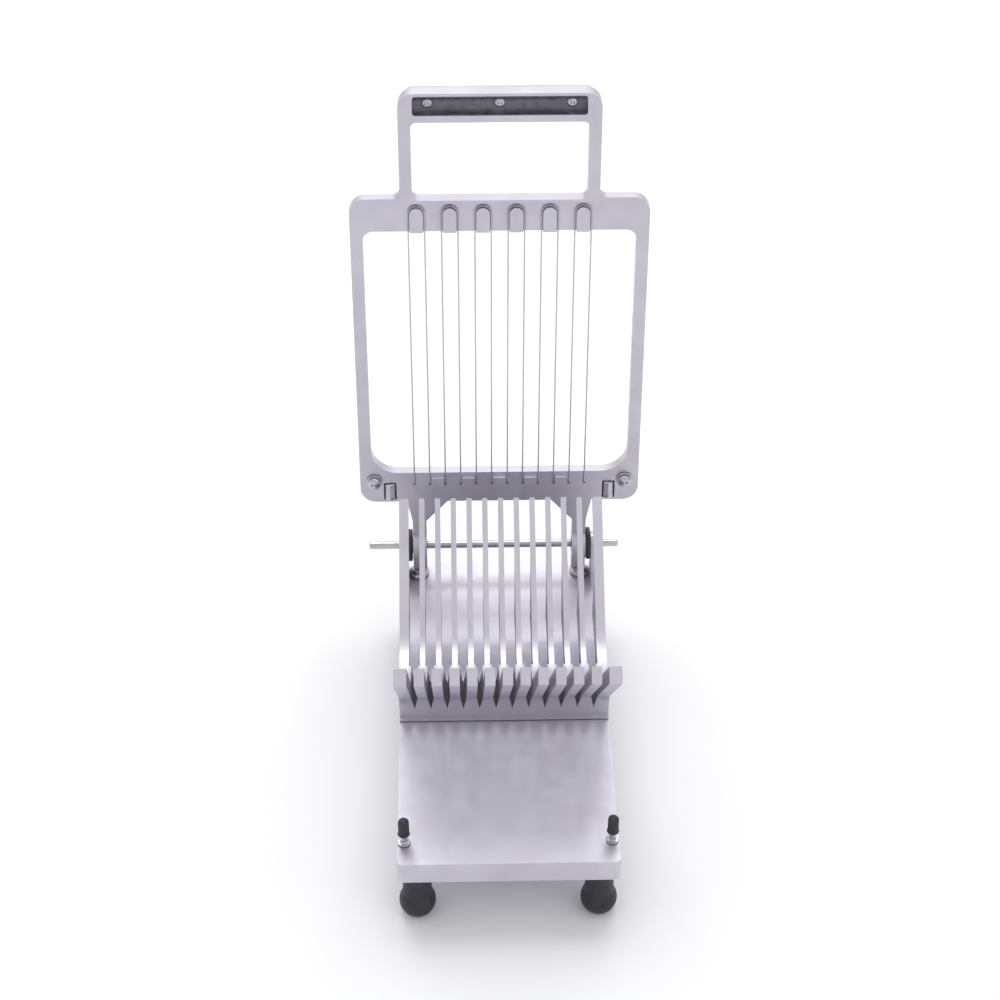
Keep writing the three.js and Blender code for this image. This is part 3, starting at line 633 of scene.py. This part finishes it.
def barrels():
    """Tension barrels let into the front of the lower bar, with fine turned grooves and rounded ends."""
    for side in SIDES:
        node = f"tension_barrel_{side}"
        low, high = upright_box(node)
        centre = (low + high) / 2
        radius = (high.x - low.x) / 2
        length = high.z - low.z
        edge = 0.5 * MM
        outline = [
            (0, 0), *arc(radius - edge, edge, edge, -math.pi / 2, 0, 5),
            *grooves(radius, edge * 2, length - edge * 2, 7),
            *arc(radius - edge, length - edge, edge, 0, math.pi / 2, 5), (0, length),
        ]
        barrel = lathe(node + "_turned", outline, (centre.x, centre.y, low.z))
        on_frame(barrel, "steel", node)


def grooves(radius, start, end, count):
    """Fine turned grooves between two heights of a barrel."""
    step = (end - start) / count
    points = []
    for i in range(count):
        base = start + i * step
        ridge = [(radius, base), (radius, base + 0.55 * step)]
        points += [*ridge, (radius - GROOVE_DEPTH, base + 0.75 * step)]
    return points + [(radius, end)]


def grip_screws():
    """Small pan-head screws in the handle's recess."""
    for i in (1, 2, 3):
        node = f"grip_screw_{i}"
        low, high = upright_box(node)
        centre = (low + high) / 2
        head = (high.x - low.x) / 2
        rise = GRIP_SCREW_HEAD
        shank = GRIP_SCREW_SHANK
        length = high.y - low.y
        dome = [(head * math.sin(a), rise * (0.6 - 0.6 * math.cos(a))) for a in [0.0, *ARC_UP]]
        outline = [*dome, (head, 0.6 * rise), (head, rise), (shank, rise), (shank, length), (0, length)]
        screw = lathe(node + "_turned", outline, (centre.x, low.y, centre.z), "Y")
        carve(screw, cross_cutter((centre.x, low.y, centre.z), "Y", 0.55 * MM, 0.6 * head, 0.9 * MM))
        on_frame(screw, "steel", node)


def grip_channel():
    """The trough along the front of the handle, round the heads of the grip screws, lined with a dark sheet whose
    colour is painted shade.
    """
    screw_low, screw_high = upright_box("grip_screw_2")
    centre = (screw_low.z + screw_high.z) / 2
    mouth = screw_low.y - CHANNEL_SET_FORWARD
    turns = [math.pi * (i / 16 - 0.5) for i in range(17)]

    def half_round(depth, half_height):
        return [(mouth + depth * math.cos(a), centre + half_height * math.sin(a)) for a in turns]

    outer = half_round(CHANNEL_DEPTH, CHANNEL_HALF_HEIGHT)
    inner = half_round(CHANNEL_DEPTH - CHANNEL_SKIN, CHANNEL_HALF_HEIGHT - CHANNEL_SKIN)
    section = outer + inner[::-1]
    made = bmesh.new()
    ends = [
        [made.verts.new((x, y, z)) for y, z in section]
        for x in (-CHANNEL_HALF_LENGTH, CHANNEL_HALF_LENGTH)
    ]
    for i, start in enumerate(ends[0]):
        j = (i + 1) % len(section)
        made.faces.new((start, ends[0][j], ends[1][j], ends[1][i]))
    for end in ends:
        made.faces.new(end)
    channel = object_from("grip_channel", made)
    on_frame(channel, "casting")
    # painted shade: the lining takes the dark material that stands in for shade inside the hollow
    channel.data.materials[0] = MATERIALS["channel"]


def wire_route(low, high, radius):
    """Up one leg, round the peg and down the other, with both tails bent back into the lower bar."""
    bend = WIRE_BEND
    x0, x1 = low.x + radius, high.x - radius
    plane = low.y + radius
    back = high.y
    foot = low.z + radius
    half = (x1 - x0) / 2
    crown = high.z - radius - half
    turns = [math.pi / 2 * i / 6 for i in range(7)]
    leg = [Vector((0, back, foot))]
    for a in turns:
        leg.append(Vector((0, plane + bend * (1 - math.sin(a)), foot + bend * (1 - math.cos(a)))))
    arch = [math.pi * i / 24 for i in range(25)]
    loop = [Vector((x0 + half - half * math.cos(a), plane, crown + half * math.sin(a))) for a in arch]
    first = [point + Vector((x0, 0, 0)) for point in leg]
    last = [point + Vector((x1, 0, 0)) for point in reversed(leg)]
    return first + loop + last


def tube(name, points, radius):
    """A round tube along a route of points."""
    curve = bpy.data.curves.new(name, "CURVE")
    curve.dimensions = "3D"
    curve.bevel_depth = radius
    curve.bevel_resolution = 3
    curve.use_fill_caps = True
    spline = curve.splines.new("POLY")
    spline.points.add(len(points) - 1)
    for spot, point in zip(spline.points, points):
        spot.co = (*point, 1)
    holder = bpy.data.objects.new(name, curve)
    bpy.context.scene.collection.objects.link(holder)
    graph = bpy.context.evaluated_depsgraph_get()
    mesh = bpy.data.meshes.new_from_object(holder.evaluated_get(graph))
    bpy.data.objects.remove(holder)
    shade(mesh, WIRE_CREASE)
    piece = bpy.data.objects.new(name, mesh)
    bpy.context.scene.collection.objects.link(piece)
    return piece


def wires():
    """Round wire in place of the CAD's six-sided loops."""
    for i in range(1, LOOPS + 1):
        node = f"wire_loop_{i}"
        low, high = upright_box(node)
        route = wire_route(low, high, WIRE_RADIUS)
        on_frame(tube(node + "_drawn", route, WIRE_RADIUS), "wire", node)


# ---- Studio ----
def studio_floor():
    made = bmesh.new()
    half = FLOOR_HALF
    corners = ((-half, -half, 0), (half, -half, 0), (half, half, 0), (-half, half, 0))
    made.faces.new([made.verts.new(corner) for corner in corners])
    floor = object_from("studio_floor", made)
    floor.data.materials.append(pale_paper())


def softbox(name, place, size, power):
    """A square area light aimed at the middle of the slicer."""
    light = bpy.data.lights.new(name, "AREA")
    light.shape = "SQUARE"
    light.size = size
    light.energy = power
    holder = bpy.data.objects.new(name, light)
    holder.location = place
    aim = Vector((0, 0, 0.1)) - Vector(place)
    holder.rotation_euler = aim.to_track_quat("-Z", "Y").to_euler()
    bpy.context.scene.collection.objects.link(holder)


def studio():
    studio_floor()
    softbox("key", (-0.05, 0.75, 1.6), 1.1, 13)
    softbox("fill", (0.9, -0.9, 1.1), 0.9, 1.5)
    softbox("back", (0.1, 1.7, 1.4), 2.4, 4)
    world = bpy.data.worlds.new("studio")
    world.use_nodes = True
    sky = world.node_tree.nodes["Background"]
    sky.inputs["Color"].default_value = (0.97, 0.97, 1.0, 1)
    sky.inputs["Strength"].default_value = 0.8
    bpy.context.scene.world = world
    bpy.context.scene.view_settings.view_transform = "Standard"


def camera():
    lens = bpy.data.cameras.new("camera")
    lens.lens = CAMERA_LENS
    lens.clip_start = 0.01
    lens.clip_end = 50
    holder = bpy.data.objects.new("camera", lens)
    turn = Matrix.Rotation(CAMERA_YAW, 4, "Z") @ Matrix.Rotation(math.pi / 2 - CAMERA_PITCH, 4, "X")
    holder.matrix_world = Matrix.Translation(CAMERA_PLACE) @ turn @ Matrix.Rotation(CAMERA_ROLL, 4, "Z")
    bpy.context.scene.collection.objects.link(holder)
    bpy.context.scene.camera = holder


paint_nodes()
castings()
feet()
bumper_posts()
bumper_caps()
rod()
rear_foot_screws()
cradle_screws()
bushings()
clamps()
barrels()
grip_screws()
grip_channel()
wires()
studio()
camera()
